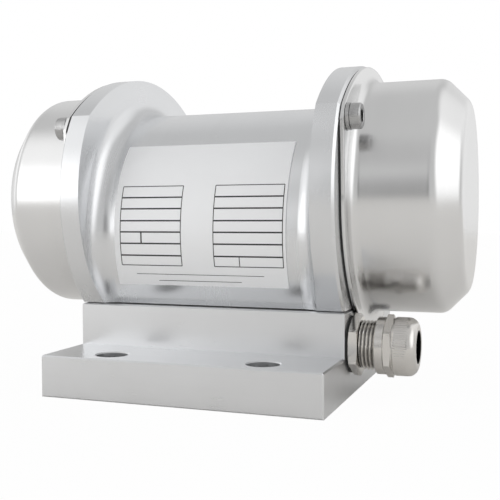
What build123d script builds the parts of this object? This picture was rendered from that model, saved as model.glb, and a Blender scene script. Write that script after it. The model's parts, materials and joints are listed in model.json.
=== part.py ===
# Stainless unbalance vibration motor: a T-shaped base block, an arched stator housing between two
# flanges, a deep-drawn cover over the eccentric weights at each end, and a cable gland.
# Millimetres. X runs along the shaft, the front with the rating plate faces -Y, Z is up.
# The origin is the centre of the base block's underside.
import math
import os

from build123d import *

os.makedirs("parts", exist_ok=True)

# Base block
foot_width = 162.0
foot_thickness = 17.0
block_width = 98.0
block_height = 18.0
base_chamfer = 0.6
foot_hole_diameter = 13.0
foot_hole_pitch_x = 65.0
foot_hole_pitch_y = 140.0
foot_hole_chamfer = 0.5

# Motor housing
flange_thickness = 9.5
flange_screw_margin = 6.1
flange_crown_flattening = 18.0
flange_crown_margin = 7.0
flange_outer_chamfer = 1.0
arch_wall = 5.0
arch_axis_drop = 15.0
arch_fillet = 8.0
stator_bore_diameter = 70.0
shield_seat_step = 7.5
shield_seat_depth = 8.5
housing_floor = 3.0
housing_gasket_thickness = 0.5
gasket_inset = 0.4

# Screws that pull the housing down onto the base block
housing_screw_diameter = 8.0
housing_screw_seat_margin = 7.5
housing_screw_pitch_y = 40.0
housing_screw_bite = 11.0
housing_head_depth = 9.0

# Rating plate
plate_end_margin = 3.5
plate_offset_x = -1.2
plate_thickness = 0.4
plate_top_angle = 42.4
plate_bottom_angle = -23.3

# Stator
stack_length = 50.0
stator_slot_count = 24
air_gap = 0.35
slot_neck_width = 2.2
slot_neck_depth = 1.3
slot_inner_width = 2.6
slot_outer_width = 4.6
stator_yoke = 4.65
winding_gap = 0.15
winding_overhang_length = 12.5
winding_side_gap = 4.5
winding_wall_gap = 2.0
winding_corner = 3.0
lead_diameter = 1.8
lead_pitch = 3.2
lead_rim_inset = 1.0
lead_bend = 3.2

# Rotor
rotor_diameter = 41.4
rotor_bar_count = 22
rotor_bar_diameter = 3.2
rotor_bar_depth = 3.1
end_ring_length = 6.0
end_ring_shaft_gap = 1.65
rotor_seat_diameter = 22.0

# Bearings, 17 x 40 x 12
bearing_bore = 17.0
bearing_outside = 40.0
bearing_width = 12.0
ball_diameter = 6.75
ball_count = 8
race_depth = 1.4
cage_thickness = 1.4
cage_width = 8.4

# End shields
shield_spigot_length = 8.5
shield_face_setback = 0.5
shield_lip_thickness = 2.0
shield_lip_step = 3.5
shield_web = 3.5
shield_screw_diameter = 4.0
shield_screw_bite = 8.0
clip_thickness = 1.75
clip_depth = 1.3
clip_reach = 2.2
clip_opening = 40.0

# Eccentric weights and what holds them on the shaft
weight_seat_diameter = 16.0
weight_cover_gap = 10.5
weight_thickness = 10.0
weight_hub_radius = 14.0
weight_spacer_length = 7.0
spacer_wall = 3.4
key_width = 5.0
key_height = 5.0
key_depth_in_shaft = 3.0
clamp_slit = 2.0
clamp_lug_width = 20.0
clamp_lug_height = 21.0
clamp_screw_diameter = 5.0
clamp_screw_height = 15.0
clamp_head_depth = 4.5
weight_corner = 2.0
shaft_thread_diameter = 14.0
shaft_washer_thickness = 2.0
shaft_washer_diameter = 26.0
shaft_nut_width = 21.0
shaft_nut_height = 8.0
shaft_tip_length = 2.0
shaft_end_chamfer = 1.0

# Covers
cover_diameter = 100.0
cover_shaft_gap = 5.9
cover_wall = 1.5
cover_shoulder = 17.0
cover_flange_fillet = 4.0
cover_rim = 4.0
cover_flange_inset = 0.6
cover_gasket_thickness = 0.5
cover_screw_diameter = 6.0
cover_screw_margin = 1.5
cover_screw_angle = 29.5
cover_screw_bite = 7.0
cover_washer_thickness = 1.5
cover_washer_diameter = 10.8

# Cable gland, M20
gland_thread_diameter = 19.9
gland_from_block_side = 12.5
gland_above_foot = 4.0
gland_hex_width = 22.0
gland_hex_length = 3.7
gland_hex_bevel_angle = 25.0
gland_ring_thickness = 0.8
gland_ring_width = 1.5
gland_entry_length = 10.0
gland_bore = 14.0
gland_body_length = 10.5
gland_free_thread = 6.0
seal_bore = 10.0
seal_outer = 16.6
seal_length = 14.0
seal_overhang = 3.0
slip_ring_thickness = 1.0
nut_collar_length = 4.0
nut_collar_diameter = 22.9
nut_hex_length = 3.1
nut_dome_length = 9.9
nut_dome_diameter = 23.3
nut_dome_round = 5.0
nut_mouth = 13.0
nut_lip_thickness = 3.0
nut_shoulder_step = 1.0

# Wiring space in the base block
wiring_length = 40.0
wiring_floor_drop = 10.0
wiring_front_reach = 8.5
wiring_back_reach = 9.5
wiring_corner = 3.0
wire_hole_diameter = 9.0
terminal_length = 26.0
terminal_depth = 9.0
terminal_height = 10.0
terminal_poles = 3
terminal_screw_diameter = 2.5
terminal_screw_inset = 3.0
terminal_screw_bite = 5.0
terminal_seat_depth = 2.8
terminal_wall_gap = 0.5
lead_grip = 2.5
earth_screw_diameter = 4.0
earth_screw_inset = 6.0
earth_screw_bite = 6.0

# Socket head screws: proportions to the thread size
head_radius_ratio = 0.83
head_chamfer_ratio = 0.08
socket_radius_ratio = 0.42
socket_depth_ratio = 0.55
counterbore_ratio = 0.9

# Clearances
press_gap = 0.01
running_gap = 0.05
ball_gap = 0.05
thread_gap = 0.1
face_gap = 0.3
screw_clearance = 0.3
drop_in_gap = 0.1
tip_gap = 1.0

# Places worked out from the sizes above
block_top = foot_thickness + block_height
housing_bottom = block_top + housing_gasket_thickness
winding_end_x = stack_length / 2 + winding_overhang_length
shield_inner_x = winding_end_x + winding_side_gap
shield_seat_x = shield_inner_x + shield_spigot_length
end_x = shield_seat_x + shield_seat_depth
base_length = 2 * end_x
shield_seat_diameter = stator_bore_diameter + 2 * shield_seat_step
cover_radius = cover_diameter / 2
cover_rim_radius = cover_radius + cover_flange_fillet + cover_rim
ear_radius = cover_washer_diameter / 2 + cover_screw_margin
cover_screw_circle = cover_radius + cover_flange_fillet + ear_radius
flange_side_radius = cover_screw_circle + flange_screw_margin
flange_top_radius = flange_side_radius + flange_crown_flattening
flange_top_height = cover_radius + flange_crown_margin
gland_y = gland_from_block_side - block_width / 2
gland_z = foot_thickness + gland_above_foot

# The shaft lies so high that the shield seats clear the base block and the cover rims clear the gland
height_over_block = housing_floor + shield_seat_diameter / 2
rim_to_gland = cover_rim_radius + gland_hex_width / 2 + tip_gap
height_over_gland = math.sqrt(rim_to_gland**2 - gland_y**2)
axis_height = max(housing_bottom + height_over_block, gland_z + height_over_gland)

arch_top_height = stator_bore_diameter / 2 + arch_wall
arch_radius = arch_top_height + arch_axis_drop
arch_axis_z = axis_height - arch_axis_drop
arch_foot_half = math.sqrt(arch_radius**2 - (arch_axis_z - housing_bottom) ** 2)
waist_x = end_x - flange_thickness
plate_length = 2 * (waist_x - arch_fillet - plate_end_margin)
housing_screw_x = shield_seat_x - housing_screw_seat_margin
shield_face_x = end_x - shield_face_setback
shield_head_x = shield_face_x - shield_screw_diameter - running_gap
bearing_inner_x = shield_inner_x + shield_lip_thickness
bearing_outer_x = bearing_inner_x + bearing_width
bearing_mid_x = (bearing_inner_x + bearing_outer_x) / 2
ball_circle_radius = (bearing_bore + bearing_outside) / 4
fixed_weight_x = bearing_outer_x + weight_spacer_length
loose_weight_x = fixed_weight_x + weight_thickness + face_gap
weight_radius = cover_radius - cover_wall - weight_cover_gap
key_x = fixed_weight_x + weight_thickness / 2
key_top = weight_seat_diameter / 2 - key_depth_in_shaft + key_height
key_z = axis_height + key_top - key_height / 2
clamp_screw_x = loose_weight_x + weight_thickness / 2
clamp_screw_z = axis_height + clamp_screw_height
shaft_washer_x = loose_weight_x + weight_thickness + face_gap
shaft_nut_x = shaft_washer_x + shaft_washer_thickness
shaft_end_x = shaft_nut_x + shaft_nut_height + shaft_tip_length
cover_foot_x = end_x + cover_gasket_thickness
cover_face_x = cover_foot_x + cover_wall
cover_end_x = shaft_end_x + cover_shaft_gap + cover_wall
stator_inner_radius = rotor_diameter / 2 + air_gap
slot_neck_radius = stator_inner_radius + slot_neck_depth
slot_bottom_radius = stator_bore_diameter / 2 - stator_yoke
winding_outer_radius = stator_bore_diameter / 2 - winding_wall_gap
gland_start_x = end_x - gland_entry_length
gland_hex_x = end_x + gland_ring_thickness
gland_thread_x = gland_hex_x + gland_hex_length
gland_nut_x = gland_thread_x + gland_free_thread
gland_body_end_x = gland_thread_x + gland_body_length
seal_start_x = gland_body_end_x - seal_length + seal_overhang
slip_ring_x = seal_start_x + seal_length + face_gap
nut_shoulder_x = slip_ring_x + slip_ring_thickness + face_gap
nut_hex_x = gland_nut_x + nut_collar_length
nut_dome_x = nut_hex_x + nut_hex_length
nut_end_x = nut_dome_x + nut_dome_length
wiring_end_x = gland_start_x - tip_gap
wiring_start_x = wiring_end_x - wiring_length
wiring_floor_z = gland_z - wiring_floor_drop
wiring_front_y = gland_y - wiring_front_reach
wiring_back_y = max(gland_y + wiring_back_reach, wire_hole_diameter / 2 + lead_rim_inset - winding_outer_radius)
wiring_mid_x = (wiring_start_x + wiring_end_x) / 2
wiring_mid_y = (wiring_front_y + wiring_back_y) / 2
wire_hole_x = (stack_length / 2 + winding_end_x) / 2
wire_hole_y = wiring_back_y - wire_hole_diameter / 2
terminal_y = wiring_front_y + terminal_wall_gap + terminal_depth / 2
terminal_back_y = terminal_y + terminal_depth / 2
lead_z = wiring_floor_z + terminal_height / 2
earth_x = wiring_start_x + earth_screw_inset
earth_y = wiring_back_y - earth_screw_inset

turning_plane = Plane(origin=(0, 0, axis_height), x_dir=(1, 0, 0), z_dir=(0, -1, 0))
gland_plane = Plane(origin=(0, gland_y, gland_z), x_dir=(1, 0, 0), z_dir=(0, -1, 0))
arch_plane = Plane(origin=(0, 0, arch_axis_z), x_dir=(1, 0, 0), z_dir=(0, -1, 0))
upward = (0, 0, 1)
downward = (0, 0, -1)
outward = (1, 0, 0)
inward = (-1, 0, 0)
backward = (0, 1, 0)


def across(sketch, x_from, x_to, y=0.0, z=axis_height):
    """Extrude a flat shape along X; its own x is the object's Y and its own y is Z."""
    plane = Plane(origin=(x_from, y, z), x_dir=(0, 1, 0), z_dir=(1, 0, 0))
    return extrude(plane * sketch, amount=x_to - x_from)


def polygon(points):
    return make_face(Polyline(points, close=True))


def rounded(sketch, x, y, radius):
    """Round the one corner of a flat shape that lies nearest to x, y."""
    nearest = sketch.vertices().sort_by_distance(Vector(x, y, 0))[0]
    return fillet(nearest, radius)


def turned(profile, plane=turning_plane):
    """Revolve a profile about the plane's own x direction: x along the axis, y the radius."""
    return revolve(plane * profile, axis=Axis(plane.origin, plane.x_dir))


def ring(x_from, x_to, r_in, r_out, plane=turning_plane):
    points = [(x_from, r_in), (x_to, r_in), (x_to, r_out), (x_from, r_out)]
    return turned(polygon(points), plane)


def disc(x_from, x_to, radius, plane=turning_plane):
    return ring(x_from, x_to, 0, radius, plane)


def rod(radius, start, direction, length):
    """A round bar from start along direction."""
    return extrude(Plane(origin=start, z_dir=direction) * Circle(radius), amount=length)


def screw_hole(diameter, start, direction, bite):
    """A tapped hole, deeper than the screw that goes in."""
    return rod(diameter / 2 + running_gap, start, direction, bite + tip_gap)


def cap_screw(diameter, start, direction, length):
    """Socket head cap screw: start is under the head, direction points down the shank."""
    seat = Plane(origin=start, z_dir=direction)
    top = seat.offset(-diameter)
    head = extrude(top * Circle(head_radius_ratio * diameter), amount=diameter)
    rim = head.edges().filter_by(GeomType.CIRCLE).sort_by_distance(top.origin)[0]
    head = chamfer(rim, head_chamfer_ratio * diameter)
    hexagon = RegularPolygon(socket_radius_ratio * diameter, 6, major_radius=False)
    socket = extrude(top * hexagon, amount=socket_depth_ratio * diameter)
    return head - socket + extrude(seat * Circle(diameter / 2), amount=length)


def on_circle(radius, angle):
    """Y and Z of a point on a circle about the shaft, the angle measured up from the front."""
    turn = math.radians(angle)
    return -radius * math.cos(turn), axis_height + radius * math.sin(turn)


def mirrored(shape):
    return mirror(shape, about=Plane.YZ)


cover_screw_places = [
    on_circle(cover_screw_circle, cover_screw_angle),
    on_circle(cover_screw_circle, 180 - cover_screw_angle),
    on_circle(cover_screw_circle, -90),
]
shield_screw_circle = (stator_bore_diameter + shield_seat_diameter) / 4
shield_screw_places = [on_circle(shield_screw_circle, 45 + 90 * i) for i in range(4)]
housing_screw_places = [
    (side_x * housing_screw_x, side_y * housing_screw_pitch_y / 2)
    for side_x in (-1, 1)
    for side_y in (-1, 1)
]
first_lead_x = wire_hole_x - (terminal_poles - 1) / 2 * lead_pitch
lead_places = [first_lead_x + i * lead_pitch for i in range(terminal_poles)]
terminal_fixing_reach = terminal_length / 2 - terminal_screw_inset
terminal_fixing_x = [wire_hole_x - terminal_fixing_reach, wire_hole_x + terminal_fixing_reach]


def flange_outline(inset=0.0):
    """Housing flange seen along the shaft: round flanks under a flatter crown."""
    flanks = Circle(flange_side_radius - inset)
    crown = Pos(0, flange_top_height - flange_top_radius) * Circle(flange_top_radius - inset)
    return flanks & crown


def cover_outline(inset=0.0):
    """Cover flange: a round rim, straight flanks up to the two upper screws, an ear below."""
    rim = cover_rim_radius - inset
    ear = ear_radius - inset
    screw_y, screw_z = on_circle(cover_screw_circle, cover_screw_angle)
    flank = ear - screw_y
    flank_z = screw_z - axis_height
    crown = flange_top_height
    upper = polygon([
        (-rim, 0),
        (rim, 0),
        (flank, flank_z),
        (flank, crown),
        (-flank, crown),
        (-flank, flank_z),
    ])
    lean = math.acos((rim - ear) / cover_screw_circle)
    lower_z = -cover_screw_circle
    web = polygon([
        (-rim * math.sin(lean), -rim * math.cos(lean)),
        (rim * math.sin(lean), -rim * math.cos(lean)),
        (ear * math.sin(lean), lower_z - ear * math.cos(lean)),
        (-ear * math.sin(lean), lower_z - ear * math.cos(lean)),
    ])
    top = (Circle(rim) + upper) & flange_outline(cover_flange_inset + inset)
    return top + web + Pos(0, lower_z) * Circle(ear)


# Base block and housing


def make_base_block():
    foot = Pos(0, foot_thickness / 2) * Rectangle(foot_width, foot_thickness)
    block = Pos(0, block_top / 2) * Rectangle(block_width, block_top)
    body = across(foot + block, -end_x, end_x, z=0)
    side = block_width / 2 + base_chamfer
    outer_edges = body.edges().filter_by(lambda e: abs(e.center().Y) > side)
    top_edges = body.edges().filter_by(lambda e: e.center().Z > block_top - base_chamfer)
    body = chamfer(outer_edges + top_edges, base_chamfer)
    hole = foot_hole_diameter / 2
    mouth = Cone(hole, hole + foot_hole_chamfer, foot_hole_chamfer)
    for x in (-foot_hole_pitch_x / 2, foot_hole_pitch_x / 2):
        for y in (-foot_hole_pitch_y / 2, foot_hole_pitch_y / 2):
            body -= rod(hole, (x, y, 0), upward, foot_thickness)
            body -= Pos(x, y, foot_thickness - foot_hole_chamfer / 2) * mouth
    for x, y in housing_screw_places:
        body -= rod(counterbore_ratio * housing_screw_diameter, (x, y, 0), upward, housing_head_depth)
        body -= rod(housing_screw_diameter / 2 + screw_clearance, (x, y, 0), upward, block_top)
    pocket = Rectangle(wiring_length, wiring_back_y - wiring_front_y)
    pocket = fillet(pocket.vertices(), wiring_corner)
    floor = Plane(origin=(wiring_mid_x, wiring_mid_y, wiring_floor_z))
    body -= extrude(floor * pocket, amount=block_top - wiring_floor_z)
    entry = gland_thread_diameter / 2 + running_gap
    body -= disc(wiring_end_x - tip_gap, end_x, entry, gland_plane)
    for x in terminal_fixing_x:
        start = (x, terminal_y, wiring_floor_z)
        body -= screw_hole(terminal_screw_diameter, start, downward, terminal_screw_bite)
    start = (earth_x, earth_y, wiring_floor_z)
    body -= screw_hole(earth_screw_diameter, start, downward, earth_screw_bite)
    y, z = cover_screw_places[2]
    for side in (-1, 1):
        start = (side * end_x, y, z)
        body -= screw_hole(cover_screw_diameter, start, (-side, 0, 0), cover_screw_bite)
    return body


def make_motor_housing():
    envelope = across(flange_outline(), -end_x, end_x)
    ends = envelope.faces().filter_by(Axis.X).edges()
    envelope = chamfer(ends, flange_outer_chamfer)
    reach = 2 * flange_side_radius
    below = Pos(0, 0, housing_bottom - reach / 2) * Box(2 * base_length, 2 * reach, reach)
    envelope -= below
    # The waist between the flanges is turned about the arch's own axis, with a wide fillet at each end
    cutter = polygon([
        (-waist_x, arch_radius),
        (waist_x, arch_radius),
        (waist_x, reach),
        (-waist_x, reach),
    ])
    cutter = rounded(cutter, -waist_x, arch_radius, arch_fillet)
    cutter = rounded(cutter, waist_x, arch_radius, arch_fillet)
    body = envelope - turned(cutter, arch_plane)
    body -= disc(-end_x, end_x, stator_bore_diameter / 2)
    for side in (-1, 1):
        into = (-side, 0, 0)
        body -= disc(side * shield_seat_x, side * end_x, shield_seat_diameter / 2)
        for y, z in cover_screw_places[:2]:
            start = (side * end_x, y, z)
            body -= screw_hole(cover_screw_diameter, start, into, cover_screw_bite)
        for y, z in shield_screw_places:
            start = (side * shield_seat_x, y, z)
            body -= screw_hole(shield_screw_diameter, start, into, shield_screw_bite)
    for x, y in housing_screw_places:
        start = (x, y, housing_bottom)
        body -= screw_hole(housing_screw_diameter, start, upward, housing_screw_bite)
    start = (wire_hole_x, wire_hole_y, housing_bottom)
    body -= rod(wire_hole_diameter / 2, start, upward, axis_height - housing_bottom)
    return body


def make_housing_gasket():
    sheet = Rectangle(base_length - 2 * gasket_inset, 2 * (arch_foot_half - gasket_inset))
    for x, y in housing_screw_places:
        sheet -= Pos(x, y) * Circle(housing_screw_diameter / 2 + screw_clearance)
    window = Rectangle(wiring_length, wiring_back_y - wiring_front_y)
    sheet -= Pos(wiring_mid_x, wiring_mid_y) * window
    return extrude(Plane.XY.offset(block_top) * sheet, amount=housing_gasket_thickness)


def make_housing_screws():
    seat = housing_head_depth
    length = housing_bottom + housing_screw_bite - seat
    starts = [(x, y, seat) for x, y in housing_screw_places]
    return [cap_screw(housing_screw_diameter, start, upward, length) for start in starts]


def make_rating_plate():
    """A thin sheet bent round the arch, on the front of the housing."""
    start = plate_offset_x - plate_length / 2
    end = start + plate_length
    skin = ring(start, end, arch_radius + press_gap, arch_radius + plate_thickness, arch_plane)
    reach = 2 * arch_radius
    top = math.radians(plate_top_angle)
    bottom = math.radians(plate_bottom_angle)
    sector = polygon([
        (0, 0),
        (-reach * math.cos(top), reach * math.sin(top)),
        (-reach, 0),
        (-reach * math.cos(bottom), reach * math.sin(bottom)),
    ])
    return skin & across(sector, start, end, z=arch_axis_z)


# Stator


def slot_shape(gap=0.0):
    """One stator slot on the upward axis, flared outwards to a round bottom."""
    neck = slot_neck_radius + gap
    bottom = slot_bottom_radius - slot_outer_width / 2
    inner = slot_inner_width / 2 - gap
    outer = slot_outer_width / 2 - gap
    flare = polygon([(-inner, neck), (inner, neck), (outer, bottom), (-outer, bottom)])
    return flare + Pos(0, bottom) * Circle(outer)


def round_the_bore(shape):
    """Copies of a flat shape, one for each stator slot."""
    return [Rot(0, 0, 360 / stator_slot_count * i) * shape for i in range(stator_slot_count)]


def make_stator_core():
    sheet = Circle(stator_bore_diameter / 2 - press_gap) - Circle(stator_inner_radius)
    half = slot_neck_width / 2
    start = stator_inner_radius - slot_neck_depth
    end = slot_neck_radius + running_gap
    mouth = polygon([(-half, start), (half, start), (half, end), (-half, end)])
    sheet -= round_the_bore(slot_shape() + mouth)
    return across(sheet, -stack_length / 2, stack_length / 2)


def make_stator_windings():
    """Coil sides in every slot, joined by a bundle of end turns at each end of the stack."""
    half = stack_length / 2 + winding_gap
    inner = slot_neck_radius + winding_gap
    bundle = polygon([
        (half, inner),
        (winding_end_x, inner),
        (winding_end_x, winding_outer_radius),
        (half, winding_outer_radius),
    ])
    corner = min(winding_corner, (winding_outer_radius - inner) / 2 - winding_gap)
    bundle = rounded(bundle, winding_end_x, inner, corner)
    bundle = rounded(bundle, winding_end_x, winding_outer_radius, corner)
    bundle = turned(bundle)
    reach = half + winding_gap
    sides = across(Sketch() + round_the_bore(slot_shape(winding_gap)), -reach, reach)
    return sides + bundle + mirrored(bundle)


def make_stator_leads():
    """Three insulated leads from the end turns down into the side of the terminal block."""
    radius = lead_diameter / 2
    touch = abs(wire_hole_y) - radius
    top_z = axis_height - math.sqrt(winding_outer_radius**2 - touch**2) - running_gap
    leads = []
    for x in lead_places:
        start = (x, wire_hole_y, top_z)
        corner = (x, wire_hole_y, lead_z)
        end = (x, terminal_back_y - lead_grip, lead_z)
        route = FilletPolyline(start, corner, end, radius=lead_bend)
        section = Plane(origin=start, z_dir=downward) * Circle(radius)
        leads.append(sweep(section, path=route))
    return leads


def make_terminal_block():
    start = Plane(origin=(wire_hole_x, terminal_y, wiring_floor_z))
    body = extrude(start * Rectangle(terminal_length, terminal_depth), amount=terminal_height)
    top = wiring_floor_z + terminal_height
    thread = terminal_screw_diameter / 2 + press_gap
    for x in lead_places:
        mouth = (x, terminal_back_y, lead_z)
        body -= rod(lead_diameter / 2 + press_gap, mouth, (0, -1, 0), lead_grip)
        body -= rod(thread, (x, terminal_y, top), downward, terminal_height / 2)
    for x in terminal_fixing_x:
        start = (x, terminal_y, top)
        body -= rod(counterbore_ratio * terminal_screw_diameter, start, downward, terminal_seat_depth)
        body -= rod(thread, start, downward, terminal_height)
    return body


def make_terminal_screws():
    """The slotted wire clamps and the two screws that hold the block down."""
    size = terminal_screw_diameter
    head_z = wiring_floor_z + terminal_height - size / 4
    clamps = []
    for x in lead_places:
        screw = rod(size / 2, (x, terminal_y, head_z), downward, terminal_height / 2 - size / 2)
        slot = Pos(x, terminal_y, head_z) * Box(size, size / 5, size / 2)
        clamps.append(screw - slot)
    seat = wiring_floor_z + terminal_height - terminal_seat_depth
    length = seat - wiring_floor_z + terminal_screw_bite
    fixings = [cap_screw(size, (x, terminal_y, seat), downward, length) for x in terminal_fixing_x]
    return clamps + fixings


def make_earth_screw():
    start = (earth_x, earth_y, wiring_floor_z)
    return cap_screw(earth_screw_diameter, start, downward, earth_screw_bite)


# Rotor and shaft


def rotor_bars(radius):
    circle = rotor_diameter / 2 - rotor_bar_depth
    turns = [math.tau * i / rotor_bar_count for i in range(rotor_bar_count)]
    return [Pos(circle * math.cos(t), circle * math.sin(t)) * Circle(radius) for t in turns]


def make_rotor_core():
    sheet = Circle(rotor_diameter / 2) - Circle(rotor_seat_diameter / 2 + press_gap)
    sheet -= rotor_bars(rotor_bar_diameter / 2 + press_gap)
    return across(sheet, -stack_length / 2, stack_length / 2)


def make_rotor_cage():
    half = stack_length / 2
    outer = rotor_diameter / 2 - running_gap
    inner = rotor_seat_diameter / 2 + end_ring_shaft_gap
    end_ring = ring(half, half + end_ring_length, inner, outer)
    bars = across(Sketch() + rotor_bars(rotor_bar_diameter / 2), -half, half)
    return bars + end_ring + mirrored(end_ring)


def make_shaft():
    steps = [
        (0, rotor_seat_diameter / 2),
        (bearing_inner_x, bearing_bore / 2),
        (bearing_outer_x, weight_seat_diameter / 2),
        (shaft_washer_x, shaft_thread_diameter / 2),
        (shaft_end_x, 0),
    ]
    points = [(0, 0), (0, steps[0][1])]
    for (x, radius), (_, before) in zip(steps[1:], steps):
        points += [(x, before), (x, radius)]
    half = turned(polygon(points))
    tip = half.edges().filter_by(GeomType.CIRCLE).sort_by(Axis.X)[-1]
    half = chamfer(tip, shaft_end_chamfer)
    half -= Pos(key_x, 0, key_z) * Box(weight_thickness, key_width + 2 * press_gap, key_height)
    return half + mirrored(half)


def make_weight_key():
    key = Box(weight_thickness - 2 * press_gap, key_width, key_height - 2 * press_gap)
    return Pos(key_x, 0, key_z) * key


# Bearings, seen on the right-hand side


def race_ring(r_in, r_out):
    """One bearing ring with the groove the balls run in."""
    profile = polygon([
        (bearing_inner_x, r_in),
        (bearing_outer_x, r_in),
        (bearing_outer_x, r_out),
        (bearing_inner_x, r_out),
    ])
    groove = Pos(bearing_mid_x, ball_circle_radius) * Circle(ball_diameter / 2 + ball_gap)
    return turned(profile - groove)


def make_outer_ring():
    return race_ring(ball_circle_radius + ball_diameter / 2 - race_depth, bearing_outside / 2)


def make_inner_ring():
    return race_ring(bearing_bore / 2 + press_gap, ball_circle_radius - ball_diameter / 2 + race_depth)


def ball_set(radius):
    balls = []
    for i in range(ball_count):
        y, z = on_circle(ball_circle_radius, 360 / ball_count * i)
        balls.append(Pos(bearing_mid_x, y, z) * Sphere(radius))
    return balls


def make_ball_cage():
    inner = ball_circle_radius - cage_thickness / 2
    outer = ball_circle_radius + cage_thickness / 2
    band = ring(bearing_mid_x - cage_width / 2, bearing_mid_x + cage_width / 2, inner, outer)
    return band - ball_set(ball_diameter / 2 + ball_gap)


def make_bearing_clip():
    """Internal retaining ring in front of the bearing, open at the top."""
    outer = bearing_outside / 2 + clip_depth
    inner = bearing_outside / 2 - clip_reach
    half = math.radians(clip_opening / 2)
    reach = 2 * outer
    side = reach * math.sin(half)
    top = reach * math.cos(half)
    wedge = polygon([(0, 0), (-side, top), (side, top)])
    sheet = Circle(outer) - Circle(inner) - wedge
    return across(sheet, bearing_outer_x, bearing_outer_x + clip_thickness)


def make_end_shield():
    """Turned bearing carrier: a flange in the housing seat, a spigot in its bore, a bearing seat."""
    outer = shield_seat_diameter / 2 - drop_in_gap
    spigot = stator_bore_diameter / 2 - drop_in_gap
    seat = bearing_outside / 2 + press_gap
    lip = bearing_outside / 2 - shield_lip_step
    body = disc(shield_seat_x, shield_face_x, outer) + disc(shield_inner_x, shield_seat_x, spigot)
    body -= disc(shield_inner_x, bearing_inner_x, lip)
    body -= disc(bearing_inner_x, shield_face_x, seat)
    groove_end = bearing_outer_x + clip_thickness + running_gap
    body -= ring(bearing_outer_x, groove_end, lip, bearing_outside / 2 + clip_depth + running_gap)
    body -= ring(shield_inner_x, shield_seat_x - tip_gap, seat + shield_web, spigot - shield_web)
    shank = shield_screw_diameter / 2 + screw_clearance
    counterbore = counterbore_ratio * shield_screw_diameter
    for y, z in shield_screw_places:
        body -= rod(shank, (shield_seat_x, y, z), outward, shield_seat_depth)
        body -= rod(counterbore, (shield_head_x, y, z), outward, shield_seat_depth)
    return body


def make_shield_screws():
    length = shield_head_x - shield_seat_x + shield_screw_bite
    starts = [(shield_head_x, y, z) for y, z in shield_screw_places]
    return [cap_screw(shield_screw_diameter, start, inward, length) for start in starts]


# Eccentric weights, seen on the right-hand side, hanging below the shaft


def weight_shape():
    lower = Pos(0, -weight_radius / 2) * Rectangle(2 * weight_radius, weight_radius)
    half = Circle(weight_radius) & lower
    half = rounded(half, -weight_radius, 0, weight_corner)
    half = rounded(half, weight_radius, 0, weight_corner)
    return half + Circle(weight_hub_radius)


def make_fixed_weight():
    keyway = key_top + press_gap
    shape = weight_shape() - Circle(weight_seat_diameter / 2 + press_gap)
    shape -= Pos(0, keyway / 2) * Rectangle(key_width + 2 * press_gap, keyway)
    return across(shape, fixed_weight_x, fixed_weight_x + weight_thickness)


def make_adjustable_weight():
    """Split hub: a lug on each side of a slit, pulled together by the clamp screw."""
    lugs = Pos(0, clamp_lug_height / 2) * Rectangle(clamp_lug_width, clamp_lug_height)
    shape = weight_shape() + lugs - Circle(weight_seat_diameter / 2 + running_gap)
    shape -= Pos(0, clamp_lug_height / 2) * Rectangle(clamp_slit, clamp_lug_height)
    body = across(shape, loose_weight_x, loose_weight_x + weight_thickness)
    front = -clamp_lug_width / 2
    seat = clamp_head_depth
    start = (clamp_screw_x, front, clamp_screw_z)
    body -= rod(clamp_screw_diameter / 2 + press_gap, start, backward, clamp_lug_width)
    body -= rod(counterbore_ratio * clamp_screw_diameter, start, backward, seat)
    return body


def make_clamp_screw():
    start = (clamp_screw_x, clamp_head_depth - clamp_lug_width / 2, clamp_screw_z)
    length = clamp_lug_width - clamp_head_depth - tip_gap
    return cap_screw(clamp_screw_diameter, start, backward, length)


def make_bearing_spacer():
    inner = weight_seat_diameter / 2 + press_gap
    return ring(bearing_outer_x, fixed_weight_x, inner, inner + spacer_wall)


def make_shaft_washer():
    inner = shaft_thread_diameter / 2 + press_gap
    return ring(shaft_washer_x, shaft_nut_x, inner, shaft_washer_diameter / 2)


def make_shaft_nut():
    hexagon = RegularPolygon(shaft_nut_width / 2, 6, major_radius=False)
    sheet = hexagon - Circle(shaft_thread_diameter / 2 + press_gap)
    return across(sheet, shaft_nut_x, shaft_nut_x + shaft_nut_height)


# Covers, seen on the right-hand side


def make_cover():
    """Deep-drawn cup: a flange with ears, a wide root fillet and a generous shoulder."""
    inner_radius = cover_radius - cover_wall
    flare = cover_flange_fillet + cover_wall
    foot = cover_radius + cover_flange_fillet + tip_gap
    outer = polygon([
        (cover_foot_x, 0),
        (cover_foot_x, foot),
        (cover_face_x, foot),
        (cover_face_x, cover_radius),
        (cover_end_x, cover_radius),
        (cover_end_x, 0),
    ])
    outer = rounded(outer, cover_face_x, cover_radius, cover_flange_fillet)
    outer = rounded(outer, cover_end_x, cover_radius, cover_shoulder)
    inner_end = cover_end_x - cover_wall
    inner = polygon([
        (cover_foot_x, 0),
        (cover_foot_x, inner_radius),
        (inner_end, inner_radius),
        (inner_end, 0),
    ])
    inner = rounded(inner, inner_end, inner_radius, cover_shoulder - cover_wall)
    mouth = Pos(cover_foot_x + flare / 2, inner_radius + flare / 2) * Rectangle(flare, flare)
    mouth -= Pos(cover_foot_x + flare, inner_radius + flare) * Circle(flare)
    flange = cover_outline()
    for y, z in cover_screw_places:
        flange -= Pos(y, z - axis_height) * Circle(cover_screw_diameter / 2 + screw_clearance)
    body = across(flange, cover_foot_x, cover_face_x) + turned(outer)
    return body - turned(inner + mouth)


def make_cover_gasket():
    sheet = cover_outline(gasket_inset) - Circle(cover_radius)
    for y, z in cover_screw_places:
        sheet -= Pos(y, z - axis_height) * Circle(cover_screw_diameter / 2 + screw_clearance)
    return across(sheet, end_x, cover_foot_x)


def make_cover_screws():
    seat = cover_face_x + cover_washer_thickness
    length = seat - end_x + cover_screw_bite
    return [cap_screw(cover_screw_diameter, (seat, y, z), inward, length) for y, z in cover_screw_places]


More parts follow.
